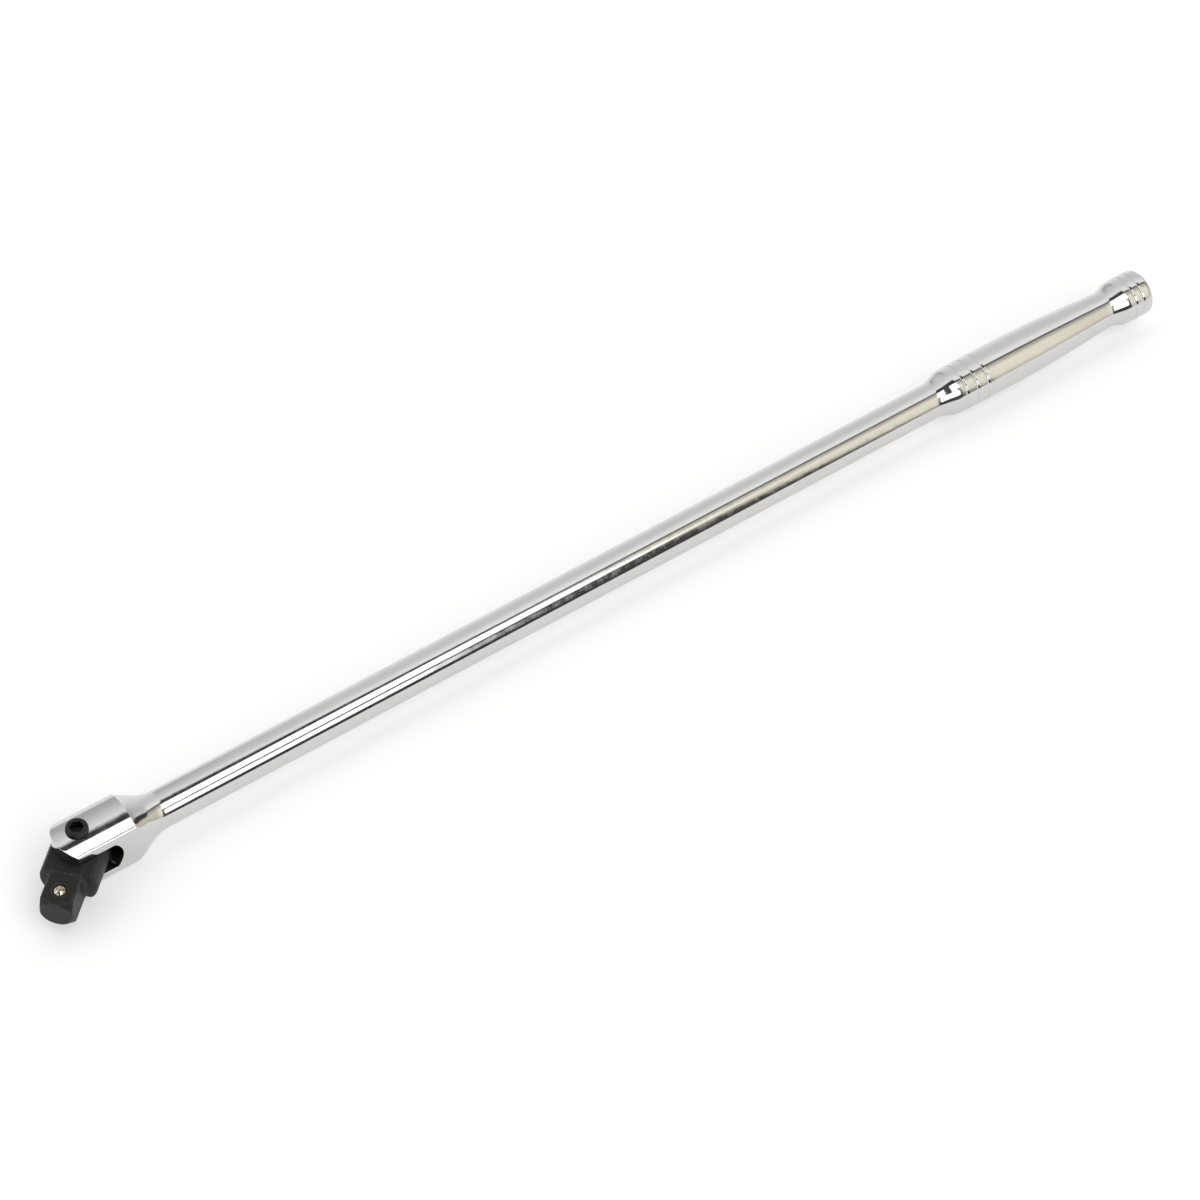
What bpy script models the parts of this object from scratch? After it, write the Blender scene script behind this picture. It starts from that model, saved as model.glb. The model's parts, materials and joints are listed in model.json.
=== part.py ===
"""Breaker bar with a swivelling square drive, as an assembly of separate solid pieces.

The tool lies along +X: the fork and its hinged drive knuckle at the low end, the grip at the high end. The
pivot screw stands along +Z and the knuckle is swung towards -Y. Everything is drawn about the pivot, at the
centre of the slot, and then moved as one, so that the tool lies on z = 0 with the origin under the middle of
its bounding box. All sizes are in metres.
"""
import math

import bmesh
import bpy
from mathutils import Vector

MM = 0.001

# Driving dimensions.
DRIVE_SQUARE = 12.7 * MM            # across the flats of the drive tang, a half-inch drive
SWING = math.radians(42.5)          # how far the knuckle is turned out of line, towards -Y
FIT_GAP = 0.3 * MM                  # clearance between neighbouring pieces

HEAD_RADIUS = 13.8 * MM             # the round part of the fork head
HEAD_FLAT = 9.7 * MM                # from the axis to each of the head's two flats
SLOT_WIDTH = 13.6 * MM              # between the two ears
EAR_END_RADIUS = 12.0 * MM          # the rounding of the ears' ends, seen along the screw
EAR_END_CENTRE = 2.0 * MM           # how far behind the pivot that rounding is centred
SLOT_SIDE_END = 10.0 * MM           # where the slot's straight sides end
SLOT_ROOT_END = 13.0 * MM           # the deepest point of the slot's hollow root
SHOULDER_X = 19.4 * MM              # the crisp edge at the back of the head
NECK_END_X = 36.0 * MM              # where the neck runs into the shaft

SHAFT_RADIUS = 7.7 * MM
GRIP_START_X = 400.0 * MM           # the front of the flare between shaft and grip
GRIP_RADIUS = 10.35 * MM            # the widest part of the grip
WAIST_X = 492.5 * MM
WAIST_RADIUS = 8.0 * MM
KNOB_RADIUS = 10.0 * MM
BAR_END_X = 514.5 * MM
RING_WIDTH = 1.2 * MM               # the fine rings turned into grip and knob
RING_DEPTH = 0.3 * MM
RING_X = [414.0 * MM, 419.5 * MM, 425.0 * MM, 504.8 * MM, 508.8 * MM]

EYE_RADIUS = 11.2 * MM              # the ball-ended body of the knuckle
EYE_HALF_THICKNESS = 6.5 * MM       # from its centre to each flat that runs between the ears
COLLAR_X = 15.1 * MM                # the shoulder that stops a socket
COLLAR_ROUND = 1.2 * MM
TANG_END_X = 29.4 * MM              # from the pivot to the tip of the drive tang
TANG_CORNER_RADIUS = 8.6 * MM       # the tang's long edges, turned round about its axis
TIP_RADIUS = 6.1 * MM               # the flat circle left at the tip by its turned chamfer
TIP_SLOPE = 1.0                     # length of that chamfer over its height

SCREW_HEAD_RADIUS = 4.25 * MM
SCREW_TOP_Z = 15.5 * MM
SCREW_HEAD_Z = 8.9 * MM             # the underside of the screw's head
SCREW_SHANK_RADIUS = 4.0 * MM
SCREW_THREAD_RADIUS = 3.75 * MM
SCREW_THREAD_Z = -6.9 * MM          # where the plain shank ends
SCREW_END_Z = -12.6 * MM
SCREW_CHAMFER = 0.35 * MM
HEX_ACROSS_FLATS = 4.8 * MM
HEX_DEPTH = 4.2 * MM
HEX_TURN = math.radians(33)

BALL_RADIUS = 2.8 * MM              # the detent ball
BALL_PROUD = 1.3 * MM               # how far it stands out of the tang
BALL_X = 22.8 * MM                  # from the pivot, along the tang
BALL_BORE_RADIUS = 3.1 * MM
BALL_LIP_RADIUS = 2.68 * MM         # the staked mouth that keeps the ball in
BALL_LIP_DEPTH = 0.5 * MM
BALL_BORE_DEPTH = 10.4 * MM

FRICTION_BALL_RADIUS = 3.0 * MM
FRICTION_BORE_RADIUS = 3.3 * MM
FRICTION_BORE_END = 33.0 * MM

WIRE_RADIUS = 0.25 * MM
SPRING_POINTS_PER_TURN = 12

TURN_STEPS = 48
MERGE = 0.02 * MM


def clear_scene():
    """Start from an empty file."""
    for item in list(bpy.data.objects):
        bpy.data.objects.remove(item, do_unlink=True)


def make_collection(name):
    """A new collection in the scene."""
    collection = bpy.data.collections.new(name)
    bpy.context.scene.collection.children.link(collection)
    return collection


def make_material(name, colour, roughness, metallic):
    """A plain Principled material."""
    material = bpy.data.materials.new(name)
    material.use_nodes = True
    shader = material.node_tree.nodes["Principled BSDF"]
    shader.inputs["Base Color"].default_value = (*colour, 1.0)
    shader.inputs["Roughness"].default_value = roughness
    shader.inputs["Metallic"].default_value = metallic
    return material


def add_object(name, data, collection, parent, location=(0, 0, 0), rotation=(0, 0, 0)):
    """Link new data as an object under a parent."""
    item = bpy.data.objects.new(name, data)
    collection.objects.link(item)
    item.parent = parent
    item.location = location
    item.rotation_euler = rotation
    return item


def adopt(collection, parent, name, location=(0, 0, 0), rotation=(0, 0, 0)):
    """Name the primitive that was just added, and move it to its collection and parent."""
    item = bpy.context.object
    item.name = name
    item.data.name = name
    for owner in list(item.users_collection):
        owner.objects.unlink(item)
    collection.objects.link(item)
    item.parent = parent
    item.location = location
    item.rotation_euler = rotation
    return item


def turned(name, profile, collection, parent, location=(0, 0, 0), rotation=(0, 0, 0)):
    """A piece turned about its local Z. The profile lists (radius, z) from its top to its bottom."""
    mesh = bpy.data.meshes.new(name)
    build = bmesh.new()
    points = [build.verts.new((radius, 0.0, z)) for radius, z in profile]
    for first, second in zip(points, points[1:]):
        build.edges.new((first, second))
    build.to_mesh(mesh)
    build.free()
    item = add_object(name, mesh, collection, parent, location, rotation)
    screw = item.modifiers.new("turn", "SCREW")
    screw.axis = "Z"
    screw.steps = TURN_STEPS
    screw.render_steps = TURN_STEPS
    screw.use_merge_vertices = True
    screw.merge_threshold = MERGE
    screw.use_smooth_shade = True
    return item


def prism(name, outline, height, collection, parent, location=(0, 0, 0), rotation=(0, 0, 0)):
    """A solid cut from flat plate: an outline in local XY, as thick as height about z = 0."""
    curve = bpy.data.curves.new(name, "CURVE")
    curve.dimensions = "2D"
    curve.fill_mode = "BOTH"
    curve.extrude = height / 2
    spline = curve.splines.new("POLY")
    spline.points.add(len(outline) - 1)
    for point, (x, y) in zip(spline.points, outline):
        point.co = (x, y, 0.0, 1.0)
    spline.use_cyclic_u = True
    drawn = add_object(name + "_outline", curve, collection, parent, location, rotation)
    bpy.context.view_layer.update()
    evaluated = drawn.evaluated_get(bpy.context.evaluated_depsgraph_get())
    mesh = bpy.data.meshes.new_from_object(evaluated)
    mesh.name = name
    build = bmesh.new()
    build.from_mesh(mesh)
    bmesh.ops.remove_doubles(build, verts=build.verts, dist=MERGE)
    build.to_mesh(mesh)
    build.free()
    bpy.data.objects.remove(drawn, do_unlink=True)
    return add_object(name, mesh, collection, parent, location, rotation)


def box(name, size, collection, parent, location=(0, 0, 0), rotation=(0, 0, 0)):
    """A box of the given size, centred on its location."""
    bpy.ops.mesh.primitive_cube_add(size=1.0)
    item = adopt(collection, parent, name, location, rotation)
    for vertex in item.data.vertices:
        vertex.co = Vector(vertex.co) * Vector(size)
    return item


def boolean(item, cutter, operation="DIFFERENCE"):
    """Cut, join or trim an object with another."""
    modifier = item.modifiers.new(operation.lower() + "_" + cutter.name, "BOOLEAN")
    modifier.operation = operation
    modifier.solver = "EXACT"
    modifier.object = cutter
    return modifier


def arc(centre, radius, start, end, steps):
    """Points along an arc, both ends included; the angles are in radians."""
    points = []
    for step in range(steps + 1):
        angle = start + (end - start) * step / steps
        points.append((centre[0] + radius * math.cos(angle), centre[1] + radius * math.sin(angle)))
    return points


def ease(start, end, steps):
    """Points of an S-shaped blend between two (radius, z) points, with both ends along Z."""
    points = []
    for step in range(steps + 1):
        share = step / steps
        blend = (1 - math.cos(math.pi * share)) / 2
        radius = start[0] + (end[0] - start[0]) * blend
        points.append((radius, start[1] + (end[1] - start[1]) * share))
    return points


def neck_profile():
    """The concave neck, from the shaft down to the crisp shoulder edge of the head."""
    cone_slope = 0.60
    drop = math.atan(cone_slope)
    blend_radius = (NECK_END_X - SHOULDER_X) * 1.15
    centre = (SHAFT_RADIUS + blend_radius, NECK_END_X)
    points = arc(centre, blend_radius, math.pi, math.pi + drop, 8)
    points.append((HEAD_RADIUS - 1.0 * MM, SHOULDER_X + 1.5 * MM))
    points.append((HEAD_RADIUS, SHOULDER_X))
    return points


def ring_groove(radius, middle):
    """A fine rounded ring cut into a turned surface of about the given radius."""
    depth_centre = radius - RING_DEPTH
    return [
        (radius, middle + RING_WIDTH / 2),
        (depth_centre, middle + RING_WIDTH / 5),
        (depth_centre, middle - RING_WIDTH / 5),
        (radius, middle - RING_WIDTH / 2),
    ]


def grip_radius_at(x):
    """The grip's outer radius: a belly that is widest near the front and narrows to the waist."""
    widest_x = GRIP_START_X + 37.0 * MM
    if x <= widest_x:
        share = (widest_x - x) / (widest_x - RING_X[0])
        return GRIP_RADIUS - 0.16 * MM * share ** 2
    share = (x - widest_x) / (WAIST_X - widest_x)
    return GRIP_RADIUS - (GRIP_RADIUS - WAIST_RADIUS) * (1 - math.cos(math.pi / 2 * share))


def bar_profile():
    """The whole turned outline of the bar, from the knob's end face to the fork's end."""
    rim = 3.2 * MM
    points = [(0.0, BAR_END_X)]
    points += arc((KNOB_RADIUS - rim, BAR_END_X - rim), rim, math.pi / 2, 0.0, 5)
    for middle in sorted(RING_X[3:], reverse=True):
        points += ring_groove(KNOB_RADIUS, middle)
    knob_front = RING_X[3] - 3.4 * MM
    points += ease((KNOB_RADIUS, knob_front), (WAIST_RADIUS, WAIST_X), 7)
    back_of_rings = RING_X[2] + 2.0 * MM
    steps = 11
    for step in range(1, steps):
        x = WAIST_X + (back_of_rings - WAIST_X) * step / steps
        points.append((grip_radius_at(x), x))
    for middle in sorted(RING_X[:3], reverse=True):
        points += ring_groove(grip_radius_at(middle), middle)
    flare_back = RING_X[0] - 3.0 * MM
    points += ease((grip_radius_at(RING_X[0]) - 0.1 * MM, flare_back), (SHAFT_RADIUS, GRIP_START_X), 8)
    points += neck_profile()
    points.append((HEAD_RADIUS, -EAR_END_RADIUS))
    points.append((0.0, -EAR_END_RADIUS))
    return points


def slot_outline():
    """The slot, seen along Y: straight sides, open at the fork's end, and a hollow arc at its root."""
    half = SLOT_WIDTH / 2
    depth = SLOT_ROOT_END - SLOT_SIDE_END
    root_radius = (half ** 2 + depth ** 2) / (2 * depth)
    centre = (SLOT_ROOT_END - root_radius, 0.0)
    spread = math.asin(half / root_radius)
    outline = arc(centre, root_radius, -spread, spread, 12)
    outline += [(-2 * EAR_END_RADIUS, half), (-2 * EAR_END_RADIUS, -half)]
    return outline


def ear_end_outline():
    """What is cut away around the ears' rounded ends, seen along the screw."""
    reach = 1.5 * HEAD_RADIUS
    outline = arc((EAR_END_CENTRE, 0.0), EAR_END_RADIUS, 1.5 * math.pi, 0.5 * math.pi, 32)
    outline += [(EAR_END_CENTRE, reach), (-reach, reach), (-reach, -reach), (EAR_END_CENTRE, -reach)]
    return outline


def make_bar(parts, cutters, pivot):
    """The one-piece handle: fork head, neck, shaft, grip and knob."""
    along_x = (0.0, math.pi / 2, 0.0)
    bar = turned("bar", bar_profile(), parts, pivot, rotation=along_x)
    flat_depth = HEAD_RADIUS
    for side in (1, -1):
        flat = box(
            "flat_cutter_plus" if side > 0 else "flat_cutter_minus",
            (4 * HEAD_RADIUS, flat_depth, 3 * HEAD_RADIUS), cutters, pivot,
            location=(SHOULDER_X / 2, side * (HEAD_FLAT + flat_depth / 2), 0.0),
        )
        boolean(bar, flat)
    ear_end = prism("ear_end_cutter", ear_end_outline(), 4 * HEAD_RADIUS, cutters, pivot)
    boolean(bar, ear_end)
    slot = prism("slot_cutter", slot_outline(), 4 * HEAD_RADIUS, cutters, pivot, rotation=(math.pi / 2, 0, 0))
    boolean(bar, slot)
    bore = turned("screw_bore_cutter", [
        (0.0, 2 * HEAD_RADIUS),
        (SCREW_HEAD_RADIUS + FIT_GAP, 2 * HEAD_RADIUS),
        (SCREW_HEAD_RADIUS + FIT_GAP, SCREW_HEAD_Z - FIT_GAP),
        (SCREW_SHANK_RADIUS + FIT_GAP, SCREW_HEAD_Z - FIT_GAP),
        (SCREW_SHANK_RADIUS + FIT_GAP, 0.0),
        (SCREW_THREAD_RADIUS + FIT_GAP, 0.0),
        (SCREW_THREAD_RADIUS + FIT_GAP, -2 * HEAD_RADIUS),
        (0.0, -2 * HEAD_RADIUS),
    ], cutters, pivot)
    boolean(bar, bore)
    friction_bore = turned("friction_bore_cutter", [
        (0.0, FRICTION_BORE_END + FRICTION_BORE_RADIUS / 2),
        (FRICTION_BORE_RADIUS, FRICTION_BORE_END),
        (FRICTION_BORE_RADIUS, 0.0),
        (0.0, 0.0),
    ], cutters, pivot, rotation=along_x)
    boolean(bar, friction_bore)
    return bar


def make_knuckle(parts, cutters, swivel):
    """The swivelling drive: a ball-ended eye with two flats, a round shoulder and the square tang."""
    chamfer_x = TANG_END_X - (TANG_CORNER_RADIUS - TIP_RADIUS) * TIP_SLOPE
    profile = [
        (0.0, TANG_END_X),
        (TIP_RADIUS, TANG_END_X),
        (TANG_CORNER_RADIUS, chamfer_x),
        (TANG_CORNER_RADIUS, COLLAR_X),
    ]
    profile += arc((EYE_RADIUS - COLLAR_ROUND, COLLAR_X - COLLAR_ROUND), COLLAR_ROUND, math.pi / 2, 0.0, 4)
    eye_end = arc((0.0, 0.0), EYE_RADIUS, 0.0, -math.pi / 2, 14)
    profile += eye_end[:-1]
    profile.append((0.0, -EYE_RADIUS))
    knuckle = turned("drive_knuckle", profile, parts, swivel, rotation=(0.0, math.pi / 2, 0.0))
    slab = 2 * EYE_RADIUS
    for side in (1, -1):
        cheek = box(
            "cheek_cutter_top" if side > 0 else "cheek_cutter_bottom",
            (4 * EYE_RADIUS, 4 * EYE_RADIUS, slab), cutters, swivel,
            location=(0.0, 0.0, side * (EYE_HALF_THICKNESS + slab / 2)),
        )
        boolean(knuckle, cheek)
    cut_square(knuckle, cutters, swivel)
    screw_bore = turned("eye_bore_cutter", [
        (0.0, slab),
        (SCREW_SHANK_RADIUS + FIT_GAP, slab),
        (SCREW_SHANK_RADIUS + FIT_GAP, -slab),
        (0.0, -slab),
    ], cutters, swivel)
    boolean(knuckle, screw_bore)
    face = DRIVE_SQUARE / 2
    ball_bore = turned("ball_bore_cutter", [
        (0.0, face + 1 * MM),
        (BALL_LIP_RADIUS, face + 1 * MM),
        (BALL_LIP_RADIUS, face - BALL_LIP_DEPTH),
        (BALL_BORE_RADIUS, face - 2 * BALL_LIP_DEPTH),
        (BALL_BORE_RADIUS, face - BALL_BORE_DEPTH),
        (0.0, face - BALL_BORE_DEPTH),
    ], cutters, swivel, location=(BALL_X, 0.0, 0.0))
    boolean(knuckle, ball_bore)
    return knuckle


def cut_square(knuckle, cutters, swivel):
    """Mill the four sides of the drive square, from the shoulder to the tip."""
    depth = EYE_RADIUS
    length = 2 * (TANG_END_X - COLLAR_X)
    offset = DRIVE_SQUARE / 2 + depth / 2
    for index in range(4):
        angle = index * math.pi / 2
        side = box(
            f"square_cutter_{index}", (length, depth, 4 * EYE_RADIUS), cutters, swivel,
            location=(COLLAR_X + length / 2, offset * math.cos(angle), offset * math.sin(angle)),
            rotation=(angle, 0.0, 0.0),
        )
        boolean(knuckle, side)


def make_screw(parts, cutters, pivot):
    """The shoulder screw that the knuckle swings on, with a hexagon socket in its head."""
    screw = turned("pivot_screw", [
        (0.0, SCREW_TOP_Z),
        (SCREW_HEAD_RADIUS - SCREW_CHAMFER, SCREW_TOP_Z),
        (SCREW_HEAD_RADIUS, SCREW_TOP_Z - SCREW_CHAMFER),
        (SCREW_HEAD_RADIUS, SCREW_HEAD_Z),
        (SCREW_SHANK_RADIUS, SCREW_HEAD_Z),
        (SCREW_SHANK_RADIUS, SCREW_THREAD_Z + FIT_GAP),
        (SCREW_THREAD_RADIUS, SCREW_THREAD_Z + FIT_GAP),
        (SCREW_THREAD_RADIUS, SCREW_END_Z + SCREW_CHAMFER),
        (SCREW_THREAD_RADIUS - SCREW_CHAMFER, SCREW_END_Z),
        (0.0, SCREW_END_Z),
    ], parts, pivot)
    bpy.ops.mesh.primitive_cylinder_add(
        vertices=6, radius=HEX_ACROSS_FLATS / math.sqrt(3), depth=2 * HEX_DEPTH)
    socket = adopt(
        cutters, pivot, "hex_socket_cutter", location=(0.0, 0.0, SCREW_TOP_Z), rotation=(0.0, 0.0, HEX_TURN))
    boolean(screw, socket)
    return screw


def ball(name, radius, collection, parent, location):
    """A steel ball."""
    bpy.ops.mesh.primitive_uv_sphere_add(segments=24, ring_count=12, radius=radius)
    item = adopt(collection, parent, name, location)
    item.data.shade_smooth()
    return item


def spring(name, coil_radius, low, high, turns, collection, parent, location=(0, 0, 0), rotation=(0, 0, 0)):
    """A compression spring along local Z, with a closed flat turn at each end."""
    count = turns * SPRING_POINTS_PER_TURN
    bottom = low + WIRE_RADIUS
    top = high - WIRE_RADIUS
    closed_rise = 2.3 * WIRE_RADIUS
    curve = bpy.data.curves.new(name, "CURVE")
    curve.dimensions = "3D"
    curve.bevel_depth = WIRE_RADIUS
    curve.bevel_resolution = 2
    curve.use_fill_caps = True
    path = curve.splines.new("POLY")
    path.points.add(count)
    for index, point in enumerate(path.points):
        turn = index / SPRING_POINTS_PER_TURN
        if turn <= 1:
            z = bottom + closed_rise * turn
        elif turn >= turns - 1:
            z = top - closed_rise * (turns - turn)
        else:
            share = (turn - 1) / (turns - 2)
            z = bottom + closed_rise + (top - bottom - 2 * closed_rise) * share
        angle = 2 * math.pi * turn
        point.co = (coil_radius * math.cos(angle), coil_radius * math.sin(angle), z, 1.0)
    return add_object(name, curve, collection, parent, location, rotation)


def lay_on_ground(origin, parts):
    """Move the tool so that it lies on z = 0, with the origin under the middle of its bounding box."""
    bpy.context.view_layer.update()
    graph = bpy.context.evaluated_depsgraph_get()
    points = []
    for item in parts.objects:
        if item.type == "EMPTY":
            continue
        evaluated = item.evaluated_get(graph)
        shape = evaluated.to_mesh()
        points += [evaluated.matrix_world @ vertex.co for vertex in shape.vertices]
        evaluated.to_mesh_clear()
    low = Vector([min(point[axis] for point in points) for axis in range(3)])
    high = Vector([max(point[axis] for point in points) for axis in range(3)])
    origin.location = (-(low.x + high.x) / 2, -(low.y + high.y) / 2, -low.z)
    bpy.context.view_layer.update()


def main():
    clear_scene()
    parts = make_collection("breaker_bar")
    cutters = make_collection("cutters")
    chrome = make_material("bright_chrome", (0.80, 0.80, 0.79), 0.07, 1.0)
    black = make_material("black_oxide", (0.035, 0.035, 0.034), 0.45, 0.7)
    screw_black = make_material("screw_black", (0.030, 0.030, 0.031), 0.40, 0.7)
    ball_steel = make_material("ball_steel", (0.78, 0.68, 0.50), 0.12, 1.0)
    spring_steel = make_material("spring_steel", (0.45, 0.45, 0.46), 0.30, 1.0)

    pivot = add_object("pivot", None, parts, None)
    swivel = add_object("swivel", None, parts, pivot, rotation=(0.0, 0.0, math.pi + SWING))

    bar = make_bar(parts, cutters, pivot)
    knuckle = make_knuckle(parts, cutters, swivel)
    screw = make_screw(parts, cutters, pivot)

    face = DRIVE_SQUARE / 2
    ball_z = face + BALL_PROUD - BALL_RADIUS
    detent_ball = ball("detent_ball", BALL_RADIUS, parts, swivel, (BALL_X, 0.0, ball_z))
    detent_spring = spring(
        "detent_spring", BALL_BORE_RADIUS - 3 * WIRE_RADIUS - FIT_GAP,
        face - BALL_BORE_DEPTH + FIT_GAP, ball_z - BALL_RADIUS + 0.2 * MM, 6, parts, swivel,
        location=(BALL_X, 0.0, 0.0))

    friction_x = EYE_RADIUS + FIT_GAP + FRICTION_BALL_RADIUS
    friction_ball = ball("friction_ball", FRICTION_BALL_RADIUS, parts, pivot, (friction_x, 0.0, 0.0))
    friction_spring = spring(
        "friction_spring", FRICTION_BORE_RADIUS - 3 * WIRE_RADIUS - FIT_GAP,
        friction_x + FRICTION_BALL_RADIUS - 0.2 * MM, FRICTION_BORE_END - FIT_GAP, 9, parts, pivot,
        rotation=(0.0, math.pi / 2, 0.0))

    finishes = [
        (bar, chrome), (knuckle, black), (screw, screw_black), (detent_ball, ball_steel),
        (friction_ball, ball_steel), (detent_spring, spring_steel), (friction_spring, spring_steel),
    ]
    for item, material in finishes:
        item.data.materials.append(material)
    for cutter in cutters.objects:
        cutter.hide_render = True
        cutter.display_type = "WIRE"
    lay_on_ground(pivot, parts)


main()
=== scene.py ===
"""A chromed breaker bar with a black swivelling drive head, on a pale studio floor."""
import json
import math

import bmesh
import bpy
from mathutils import Matrix, Vector

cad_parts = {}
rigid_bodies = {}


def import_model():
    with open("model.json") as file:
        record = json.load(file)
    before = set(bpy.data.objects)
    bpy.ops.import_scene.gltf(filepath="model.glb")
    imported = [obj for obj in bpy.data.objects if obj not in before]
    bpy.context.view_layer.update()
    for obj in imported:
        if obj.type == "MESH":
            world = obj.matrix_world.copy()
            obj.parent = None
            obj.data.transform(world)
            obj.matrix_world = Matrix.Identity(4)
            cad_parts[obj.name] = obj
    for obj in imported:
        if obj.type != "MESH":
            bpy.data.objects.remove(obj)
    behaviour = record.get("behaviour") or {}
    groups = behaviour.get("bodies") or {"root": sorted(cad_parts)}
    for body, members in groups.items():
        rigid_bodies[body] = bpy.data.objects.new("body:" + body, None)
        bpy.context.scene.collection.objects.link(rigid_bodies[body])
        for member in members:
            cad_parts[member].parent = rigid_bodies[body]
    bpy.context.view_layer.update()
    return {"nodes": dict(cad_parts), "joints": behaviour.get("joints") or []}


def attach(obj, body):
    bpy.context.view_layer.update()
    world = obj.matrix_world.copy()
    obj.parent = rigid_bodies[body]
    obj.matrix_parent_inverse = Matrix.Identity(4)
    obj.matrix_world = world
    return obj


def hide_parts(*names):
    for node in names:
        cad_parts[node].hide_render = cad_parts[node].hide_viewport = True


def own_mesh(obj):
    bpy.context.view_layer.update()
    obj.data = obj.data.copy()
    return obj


for leftover in list(bpy.data.objects):
    bpy.data.objects.remove(leftover)

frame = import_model()

MM = 0.001
PIVOT = Vector(next(j for j in frame["joints"] if j["name"] == "knuckle_swing")["pos_m"])
SWING = math.radians(42.5)

# Sizes in millimetres, measured from the pivot: the CAD part's, with the eye a hair smaller to stay
# inside it.
HEAD_RADIUS = 13.8
HEAD_FLAT = 9.7
SLOT_HALF = 6.8
SLOT_SIDE_END = 10.0
SLOT_ROOT_END = 13.0
EAR_RADIUS = 12.0
EAR_CENTRE = 2.0
BODY_START_X = 17.6         # where the fork's rows end and the bar's even rows begin
SHOULDER_X = 19.4
FLATS_END_X = 40.0          # beyond this the bar is plainly round
NECK_SLOPE = 0.55
SHAFT_RADIUS = 7.7
WIDEST_X = 437.0
WAIST_X = 492.5
GRIP_RADIUS = 10.35
WAIST_RADIUS = 8.0
KNOB_RADIUS = 10.0
KNOB_RIM = 2.6
BAR_END_X = 514.5
RING_X = (414.0, 419.5, 425.0, 504.8, 508.8)
RING_HALF_WIDTH = 0.66
RING_CUT = 0.25
EDGE_ROUNDING = 0.22        # along the fork's edges
FRICTION_BORE_RADIUS = 3.3
FRICTION_BORE_END = 33.0
SCREW_TOP = 15.5
SCREW_RADIUS = 4.25
SHANK_RADIUS = 4.0
THREAD_RADIUS = 3.75
THREAD_ROOT = 3.45
SCREW_END = -12.6
HEX_ACROSS_FLATS = 4.8
HEX_TURN = 33               # degrees
EYE_RADIUS = 11.19
EYE_HALF = 6.5
COLLAR_X = 15.1
SQUARE_HALF = 6.35
TANG_END_X = 29.4
TANG_CORNER = 8.6
TIP_RADIUS = 6.1
BALL_X = 22.8
BALL_RADIUS = 2.8
BALL_PROUD = 1.3
BALL_BORE_RADIUS = 3.1
STAKED_RADIUS = 3.72        # the seat of the staked ring
EYE_BORE_RADIUS = 4.25
WEAR_REACH = 0.32           # how far from an edge the black finish has worn
KNUCKLE_VOXEL = 0.27


# ---------------------------------------------------------------- small helpers

def smooth(edge0, edge1, value):
    """0 below edge0, 1 above edge1, and an S-shaped blend between."""
    t = min(max((value - edge0) / (edge1 - edge0), 0.0), 1.0)
    return t * t * t * (t * (6 * t - 15) + 10)


def soft_min(a, b, k):
    """The smaller of two lengths, with the crossing rounded off over k."""
    h = max(k - abs(a - b), 0.0) / k
    return min(a, b) - h * h * k / 4


def steps(start, end, count):
    """count + 1 even values from start to end."""
    return [start + (end - start) * i / count for i in range(count + 1)]


def new_object(name, bm, matrix):
    """A mesh object from a bmesh whose lengths are in millimetres."""
    mesh = bpy.data.meshes.new(name)
    bmesh.ops.recalc_face_normals(bm, faces=bm.faces)
    bm.to_mesh(mesh)
    bm.free()
    mesh.transform(matrix @ Matrix.Scale(MM, 4))
    obj = bpy.data.objects.new(name, mesh)
    bpy.context.scene.collection.objects.link(obj)
    return obj


def modify(obj, kind, **settings):
    """Add a modifier and apply it at once."""
    modifier = obj.modifiers.new(kind.lower(), kind)
    for key, value in settings.items():
        setattr(modifier, key, value)
    bpy.context.view_layer.objects.active = obj
    bpy.ops.object.modifier_apply(modifier=modifier.name)


def shade(obj, angle=32.0, weighted=True):
    """Smooth shading that breaks at sharp edges, with flat faces kept flat."""
    mesh = obj.data
    mesh.polygons.foreach_set("use_smooth", [True] * len(mesh.polygons))
    mesh.set_sharp_from_angle(angle=math.radians(angle))
    if weighted:
        modify(obj, "WEIGHTED_NORMAL", keep_sharp=True, weight=60)


def bridge(bm, row_a, row_b, closed=False):
    """Quads between two rows of vertices."""
    count = len(row_a)
    for i in range(count if closed else count - 1):
        j = (i + 1) % count
        corners = [row_a[i], row_a[j], row_b[j], row_b[i]]
        unique = []
        for v in corners:
            if v not in unique:
                unique.append(v)
        if len(unique) > 2:
            bm.faces.new(unique)


def lathe(name, profile, matrix, segments=96):
    """A turned solid about local Z from (radius, z) points, ends on the axis closed."""
    bm = bmesh.new()
    rows = []
    for radius, z in profile:
        if radius < 1e-6:
            rows.append([bm.verts.new((0, 0, z))] * segments)
            continue
        rows.append([
            bm.verts.new((radius * math.cos(2 * math.pi * k / segments),
                          radius * math.sin(2 * math.pi * k / segments), z))
            for k in range(segments)])
    for a, b in zip(rows, rows[1:]):
        bridge(bm, a, b, closed=True)
    return new_object(name, bm, matrix)


def arc(centre, radius, start, end, count):
    """Points of an arc, angles in degrees."""
    return [(centre[0] + radius * math.cos(math.radians(a)),
             centre[1] + radius * math.sin(math.radians(a)))
            for a in steps(start, end, count)]


# ---------------------------------------------------------------- the bar's outline

def neck_radius(x):
    """From the crisp shoulder edge down the concave neck to the shaft."""
    if x <= SHOULDER_X:
        return HEAD_RADIUS
    past = x - SHOULDER_X
    cone = HEAD_RADIUS - NECK_SLOPE * past - 0.27 * (1 - math.exp(-past / 1.1))
    return -soft_min(-cone, -SHAFT_RADIUS, 2.2)


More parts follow.
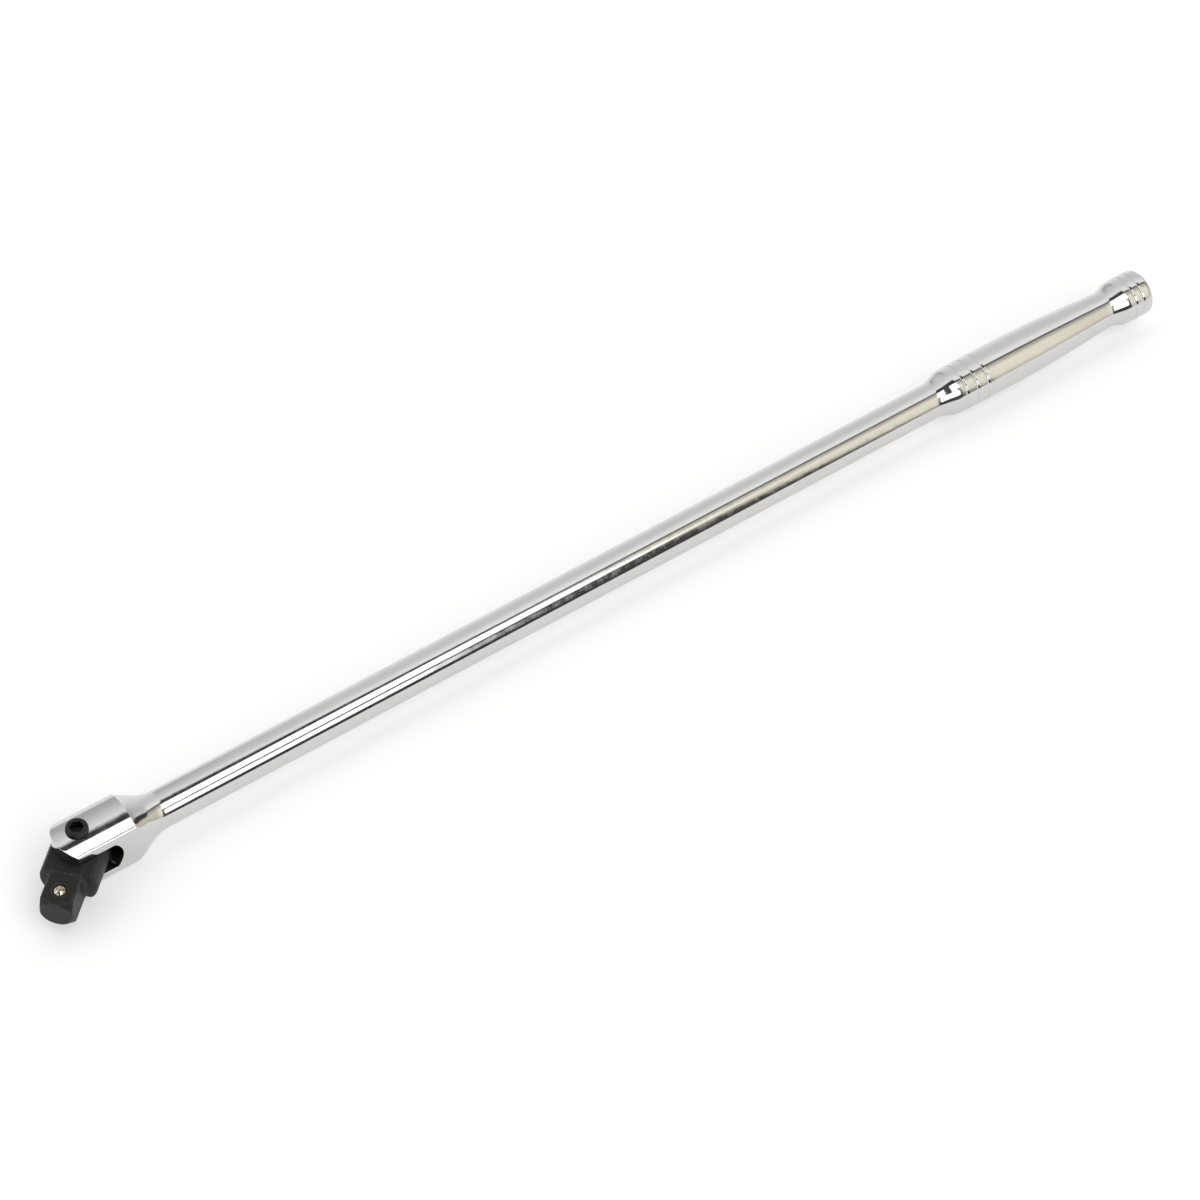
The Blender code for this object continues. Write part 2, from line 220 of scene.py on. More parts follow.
def grip_radius(x):
    """The shaft, the flare, the swelled grip, the waist, the knob and its rounded rim, without rings."""
    if x < 427.0:
        belly = GRIP_RADIUS - 0.16 * ((WIDEST_X - x) / 23.0) ** 2
        return SHAFT_RADIUS + (belly - SHAFT_RADIUS) * smooth(401.0, 411.5, x)
    share = max((x - WIDEST_X) / (WAIST_X - WIDEST_X), 0.0)
    belly = GRIP_RADIUS - 2.35 * (1 - math.cos(math.pi / 2 * min(share, 1.0)))
    return belly + (KNOB_RADIUS - WAIST_RADIUS) * smooth(493.0, 502.5, x)


def smoothed_radius(x):
    """The outline with its waist eased over about a millimetre."""
    weights = [(-1.5, 0.1), (-0.9, 0.15), (-0.4, 0.25), (0.4, 0.25), (0.9, 0.15), (1.5, 0.1)]
    if x < 395.0:
        return neck_radius(x)
    return sum(w * grip_radius(x + dx) for dx, w in weights)


def ring_depth(x):
    """How deep the fine turned rings cut at x."""
    depth = 0.0
    for middle in RING_X:
        u = abs(x - middle) / RING_HALF_WIDTH
        if u < 1:
            depth = max(depth, RING_CUT * (1 - u ** 2) ** 1.5)
    return depth


def bar_radius(x):
    """The outer radius of the bar at x."""
    radius = smoothed_radius(x) - ring_depth(x)
    past = x - (BAR_END_X - KNOB_RIM)
    if past > 0:
        radius -= KNOB_RIM - math.sqrt(max(KNOB_RIM ** 2 - past ** 2, 0.0))
    return radius


def section_radius(x, angle):
    """The bar's section: round, with two flats that fade out along the neck."""
    radius = bar_radius(x)
    if x > FLATS_END_X:
        return radius
    side = abs(math.cos(angle))
    if side < 1e-4:
        return radius
    blend = 0.45 + 3.0 * smooth(SHOULDER_X, SHOULDER_X + 8.0, x)
    return soft_min(radius, HEAD_FLAT / side, blend)


def head_angles():
    """Angles round the section for one quarter, from the flat's middle to the crest."""
    corner = math.acos(HEAD_FLAT / HEAD_RADIUS)
    inner = [math.atan(SLOT_HALF * i / 7 / HEAD_FLAT) for i in range(8)]
    outer = [math.atan(z / HEAD_FLAT) for z in steps(SLOT_HALF, 8.5, 3)[1:]]
    corner_half = 0.05
    around = steps(corner - corner_half, corner + corner_half, 4)
    crest = steps(corner + corner_half, math.pi / 2, 16)[1:]
    return inner + outer + around + crest, len(inner) - 1, len(inner) + len(outer) + 2


def make_bar():
    """The forged bar as one closed mesh of even quads: fork, neck, shaft, grip and knob."""
    quarter, slot_k, corner_k = head_angles()
    half = quarter + [math.pi - a for a in reversed(quarter[:-1])]
    full = half + [a + math.pi for a in half[1:-1]]
    n = len(full)
    half_n = len(half) - 1
    bm = bmesh.new()

    def ear_x(y):
        """Where the ear's rounded end lies at y."""
        return EAR_CENTRE - math.sqrt(EAR_RADIUS ** 2 - min(abs(y), EAR_RADIUS) ** 2)

    def root_x(z):
        """Where the slot's hollow root lies at z."""
        depth = SLOT_ROOT_END - SLOT_SIDE_END
        root_radius = (SLOT_HALF ** 2 + depth ** 2) / (2 * depth)
        return SLOT_ROOT_END - root_radius + math.sqrt(max(root_radius ** 2 - z ** 2, 0.0))

    def in_slot(k):
        """Whether column k lies strictly between the slot's edges, on either flat."""
        spread = min(k % half_n, half_n - k % half_n)
        return spread < slot_k

    ear_rows = 30
    root_rows = 14
    rows = []
    for s in range(ear_rows + root_rows + 1):
        row = []
        for k, a in enumerate(full):
            rho = section_radius(0.0, a)
            y, z = rho * math.cos(a), rho * math.sin(a)
            if s < ear_rows:
                if in_slot(k):
                    row.append(None)
                    continue
                x = ear_x(y) + (SLOT_SIDE_END - ear_x(y)) * s / ear_rows
            else:
                start = root_x(z) if in_slot(k) else SLOT_SIDE_END
                x = start + (BODY_START_X - start) * (s - ear_rows) / root_rows
            row.append(bm.verts.new((x, y, z)))
        rows.append(row)
    stations = [18.2, 18.7, 19.05, 19.25, 19.4, 19.55, 19.8, 20.2]
    stations += steps(20.7, 40.0, 44)
    stations += steps(48.0, 392.0, 43)
    stations += steps(396.0, 413.0, 42)
    stations += steps(430.0, 486.0, 28)
    stations += steps(488.0, 503.8, 36)
    across_ring = (-0.8, -RING_HALF_WIDTH, -0.54, -0.4, -0.2, 0.0, 0.2, 0.4, 0.54, RING_HALF_WIDTH, 0.8)
    for middle in RING_X:
        stations += [middle + d for d in across_ring]
    stations += steps(426.3, 428.8, 2)
    stations += [416.5, 422.2, 506.8, 510.4, 511.2]
    stations += [BAR_END_X - KNOB_RIM * (1 - math.sin(math.radians(a))) for a in steps(0, 90, 10)]
    stations = sorted(stations)
    for x in stations:
        rows.append([
            bm.verts.new((x, section_radius(x, a) * math.cos(a), section_radius(x, a) * math.sin(a)))
            for a in full])
    for a, b in zip(rows, rows[1:]):
        for k in range(n):
            j = (k + 1) % n
            corners = [a[k], a[j], b[j], b[k]]
            if None not in corners:
                bm.faces.new(corners)
    end_ring = rows[-1]
    end_radius = bar_radius(BAR_END_X)
    for share in (0.8, 0.6, 0.4, 0.2):
        ring = [bm.verts.new((BAR_END_X, end_radius * share * math.cos(a), end_radius * share * math.sin(a)))
                for a in full]
        bridge(bm, end_ring, ring, closed=True)
        end_ring = ring
    centre = bm.verts.new((BAR_END_X, 0, 0))
    bridge(bm, end_ring, [centre] * n, closed=True)

    # Each ear: its rounded end, and the slot's side. Columns run across the ear, from one flat to the other.
    crest = list(range(corner_k, half_n - corner_k + 1))
    grids = {}
    for ear in (0, 1):
        sign = 1 - 2 * ear
        offset = ear * half_n
        side_count = corner_k - slot_k
        near = [[rows[s][(offset + slot_k + j) % n] for j in range(side_count + 1)]
                for s in range(ear_rows + 1)]
        far = [[rows[s][(offset + half_n - slot_k - j) % n] for j in range(side_count + 1)]
               for s in range(ear_rows + 1)]
        depth = [(near[0][j].co.z - sign * SLOT_HALF) / (near[0][-1].co.z - sign * SLOT_HALF)
                 for j in range(side_count + 1)]
        end_columns = []
        for i, k in enumerate(crest):
            lip = rows[0][(offset + k) % n]
            if i == 0:
                end_columns.append(near[0])
            elif i == len(crest) - 1:
                end_columns.append(far[0])
            else:
                column = []
                for j in range(side_count):
                    z = sign * SLOT_HALF + (lip.co.z - sign * SLOT_HALF) * depth[j]
                    column.append(bm.verts.new((ear_x(lip.co.y), lip.co.y, z)))
                column.append(lip)
                end_columns.append(column)
        for a, b in zip(end_columns, end_columns[1:]):
            bridge(bm, a, b)
        walls = []
        for s in range(ear_rows + 1):
            line = []
            for i, k in enumerate(crest):
                if s == 0:
                    line.append(end_columns[i][0])
                elif i == 0:
                    line.append(near[s][0])
                elif i == len(crest) - 1:
                    line.append(far[s][0])
                else:
                    y = end_columns[i][0].co.y
                    x = ear_x(y) + (SLOT_SIDE_END - ear_x(y)) * s / ear_rows
                    line.append(bm.verts.new((x, y, sign * SLOT_HALF)))
            walls.append(line)
        for a, b in zip(walls, walls[1:]):
            bridge(bm, a, b)
        grids[ear] = walls[-1]
    # The hollow root of the slot, from the upper ear's wall to the lower one's.
    upper, lower = grids[0], grids[1]
    lines = [upper]
    for i in range(slot_k - 1, -slot_k, -1):
        k = i % n
        left = rows[ear_rows][k]
        right = rows[ear_rows][(half_n - i) % n]
        line = [left]
        for m in range(1, len(crest) - 1):
            line.append(bm.verts.new((root_x(left.co.z), upper[m].co.y, left.co.z)))
        line.append(right)
        lines.append(line)
    lines.append(list(reversed(lower)))
    for a, b in zip(lines, lines[1:]):
        bridge(bm, a, b)

    weight = bm.edges.layers.float.new("bevel_weight_edge")
    bm.normal_update()
    bmesh.ops.recalc_face_normals(bm, faces=bm.faces)
    for edge in bm.edges:
        if len(edge.link_faces) != 2:
            continue
        middle = (edge.verts[0].co + edge.verts[1].co) / 2
        if middle.x < 13.5 and edge.calc_face_angle_signed() > math.radians(35):
            edge[weight] = 1.0
    bar = new_object("chrome_bar", bm, Matrix.Translation(PIVOT))
    modify(bar, "BEVEL", width=EDGE_ROUNDING * MM, segments=3, limit_method="WEIGHT", profile=0.5,
           use_clamp_overlap=False)
    return bar


def cut(obj, cutter):
    """Take one solid out of another."""
    modify(obj, "BOOLEAN", object=cutter, operation="DIFFERENCE", solver="EXACT")
    bpy.data.objects.remove(cutter)


def box_cut(obj, outline, depth, matrix):
    """Mill away a prism: the outline lies in local X and Z, and is extruded both ways along local Y."""
    bm = bmesh.new()
    near = [bm.verts.new((x, -depth, z)) for x, z in outline]
    far = [bm.verts.new((x, depth, z)) for x, z in outline]
    bridge(bm, near, far, closed=True)
    bm.faces.new(near)
    bm.faces.new(far)
    cut(obj, new_object("mill", bm, matrix))


def make_knuckle(swivel):
    """The swivelling drive: a ball-ended eye with two flats, a round shoulder and the square tang."""
    chamfer_x = TANG_END_X - (TANG_CORNER - TIP_RADIUS)
    profile = [(0, TANG_END_X), (TIP_RADIUS, TANG_END_X), (TANG_CORNER, chamfer_x), (TANG_CORNER, COLLAR_X)]
    profile += arc((EYE_RADIUS - 1.2, COLLAR_X - 1.2), 1.2, 90, 0, 6)
    profile += arc((0, 0), EYE_RADIUS, 0, -90, 30)[:-1]
    profile.append((0, -EYE_RADIUS))
    along_x = Matrix.Rotation(math.pi / 2, 4, "Y")
    knuckle = lathe("black_knuckle", profile, swivel @ along_x, 144)
    for side in (1, -1):
        far = side * 30
        box_cut(knuckle, [(-30, side * EYE_HALF), (40, side * EYE_HALF), (40, far), (-30, far)], 30, swivel)
    fillet = 1.7
    root = COLLAR_X + 0.03
    milled = arc((root + fillet, SQUARE_HALF + fillet), fillet, 270, 180, 8)
    milled += [(root, 30), (40, 30), (40, SQUARE_HALF)]
    for quarter in range(4):
        turn = Matrix.Rotation(quarter * math.pi / 2, 4, "X")
        box_cut(knuckle, milled, 30, swivel @ turn)
    eye_bore = [(0, 20), (EYE_BORE_RADIUS, 20), (EYE_BORE_RADIUS, -20), (0, -20)]
    cut(knuckle, lathe("eye_bore", eye_bore, swivel, 72))
    seat_floor = SQUARE_HALF - 1.4
    ball_seat = [(0, 9), (STAKED_RADIUS, 9), (STAKED_RADIUS, seat_floor), (BALL_BORE_RADIUS, seat_floor),
                 (BALL_BORE_RADIUS, -4.0), (0, -4.0)]
    cut(knuckle, lathe("ball_seat", ball_seat, swivel @ Matrix.Translation((BALL_X * MM, 0, 0)), 72))
    modify(knuckle, "REMESH", mode="VOXEL", voxel_size=KNUCKLE_VOXEL * MM, use_smooth_shade=True)
    modify(knuckle, "SMOOTH", factor=0.5, iterations=3)
    shade(knuckle, 60)
    return knuckle


def mark_wear(obj, matrix, edge_distance):
    """Store how near each vertex is to an outer edge, where the black finish has worn."""
    inverse = matrix.inverted()
    layer = obj.data.attributes.new("wear", "FLOAT", "POINT")
    for vertex, item in zip(obj.data.vertices, layer.data):
        p = (inverse @ vertex.co) / MM
        item.value = 1.0 - min(edge_distance(p) / WEAR_REACH, 1.0)


def knuckle_edge(p):
    """Distance from a point on the knuckle to its nearest worn edge, in millimetres."""
    radial = math.hypot(p.y, p.z)
    if p.x > COLLAR_X + 0.3:
        chamfer = (TANG_END_X - p.x + TIP_RADIUS - radial) / math.sqrt(2)
        gaps = sorted([SQUARE_HALF - abs(p.z), SQUARE_HALF - abs(p.y), TANG_CORNER - radial,
                       TANG_END_X - p.x, abs(chamfer) + (0.0 if radial > TIP_RADIUS - 0.4 else 1.0)])
    else:
        body = EYE_RADIUS - (radial if p.x > 0 else p.length)
        gaps = sorted([EYE_HALF - abs(p.z), body, COLLAR_X - p.x])
    return max(gaps[1], 0.0)


def make_staked_ring(swivel):
    """The lip staked round the detent ball, with the fine groove that the punch leaves."""
    face = SQUARE_HALF
    profile = [(3.70, -1.3), (3.70, 0.0), (3.62, 0.03), (3.50, 0.02), (3.40, -0.10), (3.28, -0.14),
               (3.14, -0.06), (3.04, 0.02), (2.92, 0.03), (2.80, -0.02), (2.70, -0.22), (2.68, -0.6),
               (2.95, -1.1), (3.1, -1.3)]
    profile = [(r, z + face) for r, z in profile]
    ring = lathe("staked_ring", profile + profile[:1], swivel @ Matrix.Translation((BALL_X * MM, 0, 0)), 72)
    shade(ring, 50, weighted=False)
    return ring


def make_ball(name, radius, matrix):
    """A hardened ball with the small flat that its socket has rubbed on its crown."""
    profile = [(0, 0.988 * radius)]
    for a in steps(9, 171, 26):
        profile.append((radius * math.sin(math.radians(a)), radius * math.cos(math.radians(a))))
    profile.append((0, -radius))
    ball = lathe(name, profile, matrix, 56)
    shade(ball, 60, weighted=False)
    return ball


def make_screw(matrix):
    """The black shoulder screw, with a chamfered head and a hexagon socket."""
    profile = [(0, SCREW_TOP), (3.72, SCREW_TOP)]
    profile += arc((3.72, SCREW_TOP - 0.12), 0.12, 90, 50, 2)[1:]
    profile += [(4.14, SCREW_TOP - 0.34)]
    profile += arc((4.05, SCREW_TOP - 0.48), 0.2, 40, 0, 2)[1:]
    profile += [(SCREW_RADIUS, 8.95), (4.15, 8.9), (SHANK_RADIUS, 8.9), (SHANK_RADIUS, -6.6)]
    profile += [(THREAD_RADIUS, -6.6)]
    for turn in range(6):
        z = -7.2 - 0.9 * turn
        profile += [(THREAD_RADIUS, z), (THREAD_ROOT, z - 0.3), (THREAD_ROOT, z - 0.45),
                    (THREAD_RADIUS, z - 0.75)]
    profile += [(THREAD_RADIUS, -12.1), (3.25, SCREW_END), (0, SCREW_END)]
    screw = lathe("black_screw", profile, matrix, 96)
    bm = bmesh.new()
    turned = [math.radians(HEX_TURN + 60 * i) for i in range(6)]
    corner = HEX_ACROSS_FLATS / math.sqrt(3)
    levels = [(corner + 0.88, SCREW_TOP + 0.38), (corner, SCREW_TOP - 0.22), (corner, SCREW_TOP - 4.0)]
    loops = [[bm.verts.new((r * math.cos(a), r * math.sin(a), z)) for a in turned] for r, z in levels]
    for a, b in zip(loops, loops[1:]):
        bridge(bm, a, b, closed=True)
    bm.faces.new(loops[0])
    floor_point = bm.verts.new((0, 0, SCREW_TOP - 4.9))
    bridge(bm, loops[-1], [floor_point] * 6, closed=True)
    cut(screw, new_object("hexagon", bm, matrix))
    modify(screw, "BEVEL", width=0.07 * MM, segments=2, limit_method="ANGLE", angle_limit=math.radians(38))
    shade(screw, 40)
    return screw


# ---------------------------------------------------------------- materials

class Nodes:
    """Short forms for building one node tree."""

    def __init__(self, tree):
        self.tree = tree
        self.tree.nodes.clear()

    def add(self, kind, inputs=None, **settings):
        """A shader node; an input may be a plain value or another node's output."""
        node = self.tree.nodes.new("ShaderNode" + kind)
        for key, value in settings.items():
            setattr(node, key, value)
        for key, value in (inputs or {}).items():
            if isinstance(value, bpy.types.NodeSocket):
                self.tree.links.new(value, node.inputs[key])
            else:
                node.inputs[key].default_value = value
        return node

    def link(self, source, target):
        self.tree.links.new(source, target)

    def math(self, operation, a, b=0.0):
        return self.add("Math", {0: a, 1: b}, operation=operation).outputs[0]

    def span(self, value, low, high, to_low=0.0, to_high=1.0):
        """Carries value from one range to another, eased at both ends and held beyond them."""
        return self.add("MapRange", {"Value": value, "From Min": low, "From Max": high,
                                     "To Min": to_low, "To Max": to_high},
                        interpolation_type="SMOOTHSTEP", clamp=True).outputs[0]

    def noise(self, vector, scale, detail=3.0, roughness=0.55):
        return self.add("TexNoise", {"Vector": vector, "Scale": scale, "Detail": detail,
                                     "Roughness": roughness}).outputs["Fac"]

    def colour(self, factor, a, b):
        mix = self.add("Mix", data_type="RGBA")
        self.tree.links.new(factor, mix.inputs[0])
        mix.inputs[6].default_value = (*a, 1)
        mix.inputs[7].default_value = (*b, 1)
        return mix.outputs[2]


def new_material(name):
    """An empty node material with its shader, and the object's own coordinates."""
    material = bpy.data.materials.new(name)
    material.use_nodes = True
    nodes = Nodes(material.node_tree)
    shader = nodes.add("BsdfPrincipled")
    output = nodes.add("OutputMaterial")
    nodes.link(shader.outputs[0], output.inputs[0])
    place = nodes.add("TexCoord").outputs["Object"]
    return material, nodes, shader, place


def stretched(nodes, place, scale):
    """The object's coordinates scaled by a different number each way."""
    return nodes.add("Mapping", {"Vector": place, "Scale": scale}).outputs[0]


def chrome_material():
    """Bright chrome plate: faint colour clouds, slow ripples left by polishing, and fine buffing marks."""
    material, nodes, shader, place = new_material("chrome_plate")
    clouds = nodes.noise(place, 60.0)
    chrome = nodes.colour(clouds, (0.605, 0.600, 0.592), (0.645, 0.643, 0.636))
    nodes.link(chrome, shader.inputs["Base Color"])
    shader.inputs["Metallic"].default_value = 1.0
    buffing = nodes.noise(stretched(nodes, place, (2600.0, 90.0, 90.0)), 1.0, 4.0)
    haze = nodes.noise(place, 230.0, 4.0)
    worn = nodes.math("ADD", nodes.math("MULTIPLY", buffing, 0.5), nodes.math("MULTIPLY", haze, 0.5))
    nodes.link(nodes.span(worn, 0.35, 0.65, 0.06, 0.14), shader.inputs["Roughness"])
    ripple = nodes.noise(place, 140.0, 2.0)
    fine = nodes.add("Bump", {"Height": buffing, "Strength": 0.35, "Distance": 0.0000012})
    bump = nodes.add("Bump", {"Height": ripple, "Strength": 1.0, "Distance": 0.000016,
                              "Normal": fine.outputs[0]})
    nodes.link(bump.outputs[0], shader.inputs["Normal"])
    return material


def black_material(name, dark, light, rough, wear=0.0):
    """Black oxide on steel: mottled, satin, with a fine grain, and paler where its edges have rubbed."""
    material, nodes, shader, place = new_material(name)
    clouds = nodes.noise(place, 320.0, 5.0, 0.65)
    base = nodes.colour(nodes.span(clouds, 0.3, 0.7), dark, light)
    grain = nodes.noise(place, 5200.0, 3.0, 0.7)
    low, high = rough
    roughness = nodes.span(nodes.math("ADD", nodes.math("MULTIPLY", clouds, 0.6),
                                      nodes.math("MULTIPLY", grain, 0.4)), 0.35, 0.65, low, high)
    if wear:
        edge = nodes.add("Attribute", attribute_name="wear").outputs["Fac"]
        patchy = nodes.span(nodes.noise(place, 900.0, 4.0, 0.7), 0.35, 0.7)
        amount = nodes.math("MULTIPLY", nodes.math("MULTIPLY", edge, patchy), wear)
        streaks = nodes.noise(stretched(nodes, place, (260.0, 260.0, 5200.0)), 1.0, 3.0)
        amount = nodes.math("ADD", amount, nodes.span(streaks, 0.70, 0.84, 0.0, 0.16))
        worn = nodes.add("Mix", {6: base, 7: (0.20, 0.19, 0.175, 1)}, data_type="RGBA")
        nodes.link(amount, worn.inputs[0])
        base = worn.outputs[2]
    nodes.link(base, shader.inputs["Base Color"])
    nodes.link(roughness, shader.inputs["Roughness"])
    shader.inputs["Metallic"].default_value = 0.0
    shader.inputs["Specular IOR Level"].default_value = 0.32
    bump = nodes.add("Bump", {"Height": grain, "Strength": 0.5, "Distance": 0.000006})
    nodes.link(bump.outputs[0], shader.inputs["Normal"])
    return material


def steel_material(name, pale, tinted, rough):
    """Bare steel: polished, unevenly tinted, with fine rub marks."""
    material, nodes, shader, place = new_material(name)
    tint = nodes.span(nodes.noise(place, 800.0, 3.0), 0.42, 0.58)
    nodes.link(nodes.colour(tint, pale, tinted), shader.inputs["Base Color"])
    shader.inputs["Metallic"].default_value = 1.0
    marks = nodes.noise(place, 2400.0, 4.0)
    nodes.link(nodes.span(marks, 0.3, 0.7, rough[0], rough[1]), shader.inputs["Roughness"])
    bump = nodes.add("Bump", {"Height": marks, "Strength": 0.4, "Distance": 0.000003})
    nodes.link(bump.outputs[0], shader.inputs["Normal"])
    return material


def finish_with(obj, material):
    """Give an object one material in every slot."""
    if not obj.data.materials:
        obj.data.materials.append(material)
    for slot in obj.material_slots:
        slot.material = material


def make_spring(name, node, body, material):
    """A coil spring in the place of its CAD node, made from a copy of its mesh."""
    spring = bpy.data.objects.new(name, frame["nodes"][node].data.copy())
    bpy.context.scene.collection.objects.link(spring)
    finish_with(spring, material)
    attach(spring, body)
    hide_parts(node)
    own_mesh(spring)


# ---------------------------------------------------------------- the pieces

at_pivot = Matrix.Translation(PIVOT)
swivel = at_pivot @ Matrix.Rotation(math.pi + SWING, 4, "Z")

bar = make_bar()
cut(bar, lathe("screw_seat", [
    (0, 30), (SCREW_RADIUS + 0.22, 30), (SCREW_RADIUS + 0.22, 8.6), (4.25, 8.6), (4.25, 0),
    (4.0, 0), (4.0, -13.0), (4.6, -13.6), (4.6, -30), (0, -30)], at_pivot, 72))
cut(bar, lathe("friction_bore", [
    (0, FRICTION_BORE_END + FRICTION_BORE_RADIUS / 2), (FRICTION_BORE_RADIUS, FRICTION_BORE_END),
    (FRICTION_BORE_RADIUS, 8.0), (0, 8.0)], at_pivot @ Matrix.Rotation(math.pi / 2, 4, "Y"), 72))
shade(bar)
knuckle = make_knuckle(swivel)
mark_wear(knuckle, swivel, knuckle_edge)
ring = make_staked_ring(swivel)
screw = make_screw(at_pivot)
ball_at = swivel @ Matrix.Translation(Vector((BALL_X, 0, SQUARE_HALF + BALL_PROUD - BALL_RADIUS)) * MM)
ball = make_ball("steel_ball", BALL_RADIUS, ball_at)

finish_with(bar, chrome_material())
finish_with(knuckle, black_material("black_oxide", (0.0055, 0.0052, 0.0047), (0.011, 0.0105, 0.0092),
                                    (0.42, 0.56), wear=0.40))
finish_with(ring, black_material("staked_oxide", (0.012, 0.011, 0.010), (0.035, 0.032, 0.026), (0.34, 0.46)))
finish_with(screw, black_material("screw_oxide", (0.006, 0.0065, 0.007), (0.013, 0.013, 0.0135),
                                  (0.34, 0.46)))
finish_with(ball, steel_material("tinted_ball_steel", (0.76, 0.68, 0.57), (0.32, 0.25, 0.17),
                                 (0.08, 0.18)))
wire = steel_material("spring_wire", (0.50, 0.50, 0.51), (0.38, 0.38, 0.40), (0.25, 0.38))
finish_with(frame["nodes"]["friction_ball"],
            steel_material("plain_ball_steel", (0.66, 0.66, 0.67), (0.55, 0.55, 0.57), (0.08, 0.16)))

for piece, body, node, slot in (
        (bar, "bar", "bar", "polished_chrome"),
        (knuckle, "knuckle", "drive_knuckle", "black_oxide_steel"),
        (screw, "bar", "pivot_screw", "black_screw_steel"),
        (ball, "detent", "detent_ball", "ball_steel")):
    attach(piece, body)
    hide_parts(node)
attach(ring, "knuckle")

make_spring("detent_coil", "detent_spring", "knuckle", wire)
make_spring("friction_coil", "friction_spring", "bar", wire)


# ---------------------------------------------------------------- floor, light and camera

def make_floor():
    """A wide pale floor with the faintest unevenness."""
    bm = bmesh.new()
    bmesh.ops.create_grid(bm, x_segments=8, y_segments=8, size=4000)
    floor = new_object("studio_floor", bm, Matrix.Identity(4))
    material, nodes, shader, place = new_material("pale_floor")
    speckle = nodes.noise(place, 9.0, 4.0)
    nodes.link(nodes.colour(speckle, (0.86, 0.86, 0.86), (0.89, 0.89, 0.89)), shader.inputs["Base Color"])
    shader.inputs["Roughness"].default_value = 0.9
    shader.inputs["Specular IOR Level"].default_value = 0.1
    shader.inputs["Emission Color"].default_value = (1.0, 1.0, 1.0, 1.0)
    shader.inputs["Emission Strength"].default_value = 0.29
    finish_with(floor, material)


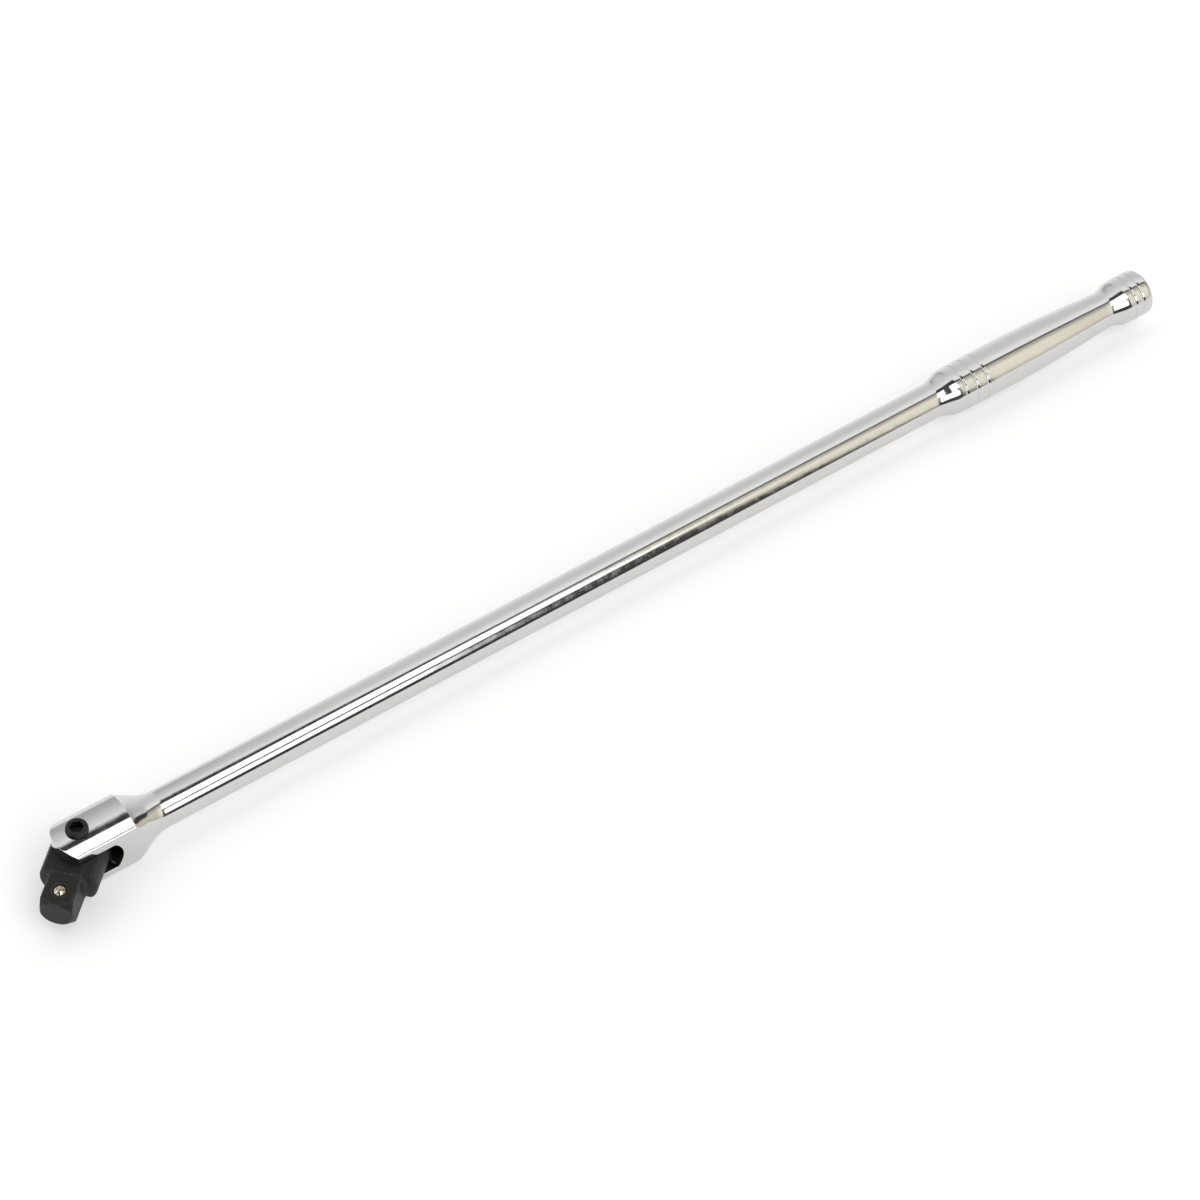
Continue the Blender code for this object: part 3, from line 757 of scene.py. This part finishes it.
def make_studio():
    """The studio round the object: pale walls, two long soft boxes, and dark gaps between them."""
    world = bpy.data.worlds.new("studio")
    bpy.context.scene.world = world
    world.use_nodes = True
    nodes = Nodes(world.node_tree)
    axes = nodes.add("SeparateXYZ", {0: nodes.add("TexCoord").outputs["Generated"]})
    x = axes.outputs[0]
    turn = nodes.math("ARCTAN2", axes.outputs[2], axes.outputs[1])
    lift = nodes.math("MULTIPLY", turn, 180 / math.pi)

    def band(value, low, high, soft):
        """1 between low and high, 0 outside, with soft edges."""
        rise = nodes.span(value, low - soft, low + soft)
        fall = nodes.span(value, high - soft, high + soft, 1.0, 0.0)
        return nodes.math("MULTIPLY", rise, fall)

    def total(*terms):
        """The sum of several node outputs."""
        result = terms[0]
        for term in terms[1:]:
            result = nodes.math("ADD", result, term)
        return result

    back = total(nodes.span(lift, 50, 92, 0.76, 1.08), nodes.span(lift, -5, 30, 0.14, 0.0))
    shaded = nodes.math("MULTIPLY", band(lift, -32.0, 36.0, 26.0), nodes.span(x, 0.225, 0.31, 0.40, 0.0))
    shaded = nodes.math("MULTIPLY", shaded, nodes.span(x, -0.10, 0.20))
    back = nodes.math("MULTIPLY", back, nodes.math("SUBTRACT", 1.0, shaded))
    back = nodes.math("MULTIPLY", back, nodes.span(x, 0.82, 1.0, 1.0, 0.6))
    gap = total(nodes.span(x, 0.2235, 0.2345, 86.0, 78.0), nodes.span(x, 0.24, 0.27, 0.0, 8.0),
                nodes.span(x, 0.27, 0.36, 0.0, 8.0))
    past_gap = nodes.math("SUBTRACT", lift, gap)
    back = nodes.math("MULTIPLY", back, nodes.span(past_gap, -2.5, 3.0, 1.0, 0.0))
    dark = nodes.math("MULTIPLY", nodes.span(past_gap, -2.5, 3.0), 0.05)
    seam = nodes.span(x, 0.238, 0.252, 1.2, 3.8)
    from_seam = nodes.math("SUBTRACT", lift, 136.2)
    above_seam = nodes.span(nodes.math("ADD", from_seam, seam), -0.8, 0.8, 1.0, 0.0)
    below_seam = nodes.span(nodes.math("SUBTRACT", from_seam, seam), -0.8, 0.8)
    upper = nodes.math("MULTIPLY", nodes.span(lift, 103.2, 104.8), above_seam)
    lower = nodes.math("MULTIPLY", below_seam, nodes.span(lift, 161.7, 163.3, 1.0, 0.0))
    upper = nodes.math("MULTIPLY", upper, band(x, -0.20, 0.42, 0.012))
    lower = nodes.math("MULTIPLY", lower, band(x, -0.34, 0.33, 0.012))
    boxes = nodes.math("MULTIPLY", total(upper, lower), 2.0)
    edge = nodes.math("SUBTRACT", x, nodes.math("MULTIPLY", nodes.math("SUBTRACT", lift, 137.0), 0.0015))
    wall = nodes.math("MULTIPLY", band(edge, 0.405, 0.955, 0.012), band(lift, 101.0, 300.0, 1.0))
    left = nodes.math("MULTIPLY", nodes.span(x, -0.78, -0.60, 0.45, 0.0), nodes.span(lift, 97.0, 99.0))
    plain = nodes.add("CombineColor", {0: total(back, dark, boxes, left),
                                       1: total(back, dark, boxes, left),
                                       2: total(back, dark, boxes, left)}).outputs[0]
    falloff = nodes.math("MULTIPLY", nodes.span(lift, 102.0, 128.0, 0.45, 1.0),
                         nodes.span(lift, 156.0, 188.0, 1.0, 0.58))
    falloff = nodes.math("MULTIPLY", falloff, nodes.span(x, 0.54, 0.72, 1.0, 0.70))
    warm = nodes.add("Mix", data_type="RGBA")
    nodes.link(wall, warm.inputs[0])
    nodes.link(plain, warm.inputs[6])
    nodes.link(nodes.colour(falloff, (0.0, 0.0, 0.0), (1.04, 0.985, 0.84)), warm.inputs[7])
    surface = nodes.add("Background", {"Color": warm.outputs[2], "Strength": 1.13})
    output = nodes.add("OutputWorld")
    nodes.link(surface.outputs[0], output.inputs[0])


def make_camera():
    """The camera, level with the pivot screw's axis but for a slight roll."""
    azimuth, elevation, roll = math.radians(-35.998), math.radians(50.702), math.radians(1.317)
    distance = 1.4592
    look = Vector((-math.sin(azimuth) * math.cos(elevation), math.cos(azimuth) * math.cos(elevation),
                   -math.sin(elevation)))
    level = Vector((math.cos(azimuth), math.sin(azimuth), 0))
    right = math.cos(roll) * level + math.sin(roll) * level.cross(look)
    camera = bpy.data.cameras.new("camera")
    camera.lens = 110.83
    camera.sensor_width = 36.0
    camera.clip_end = 50.0
    obj = bpy.data.objects.new("camera", camera)
    bpy.context.scene.collection.objects.link(obj)
    axes = Matrix((right, right.cross(look), -look)).transposed().to_4x4()
    aim = PIVOT + Vector((0.23112, -0.00656, -0.00537))
    obj.matrix_world = Matrix.Translation(aim - look * distance) @ axes
    bpy.context.scene.camera = obj


make_floor()
make_studio()
make_camera()
bpy.context.scene.view_settings.view_transform = "Standard"

bpy.context.view_layer.update()
